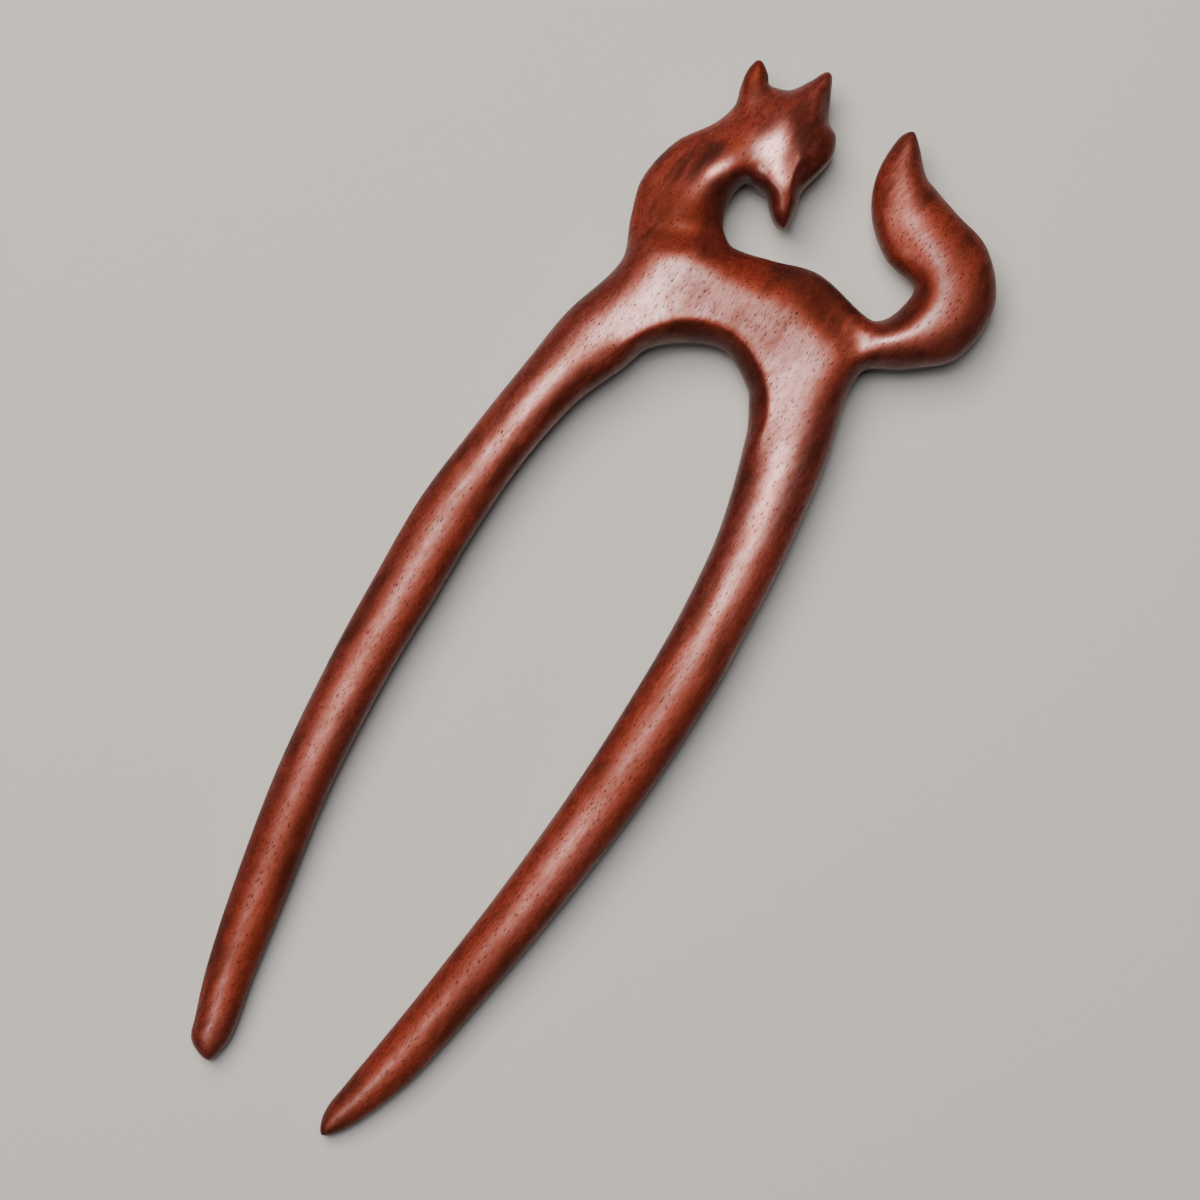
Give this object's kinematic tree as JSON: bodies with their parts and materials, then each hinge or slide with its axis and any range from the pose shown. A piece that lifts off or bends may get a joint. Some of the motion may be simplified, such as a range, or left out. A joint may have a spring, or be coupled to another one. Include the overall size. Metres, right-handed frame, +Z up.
{
  "type": "hair fork",
  "caption": "Carved hardwood hair fork whose body is a beast with pricked ears, a curled tail and two long legs as prongs.",
  "frame": {"origin": "on the surface that the fork lies on, under the middle of its bounding box", "axes": "+Y along the fork towards the head and ears, +X across it towards the tail, +Z up through the board's thickness"},
  "size_m": [0.0498, 0.1402, 0.0096],
  "materials": {
    "carved_hardwood": "hand-polished satin wax over red-brown hardwood"
  },
  "bodies": {
    "root": {"hair_fork": "carved_hardwood"}
  },
  "joints": []
}
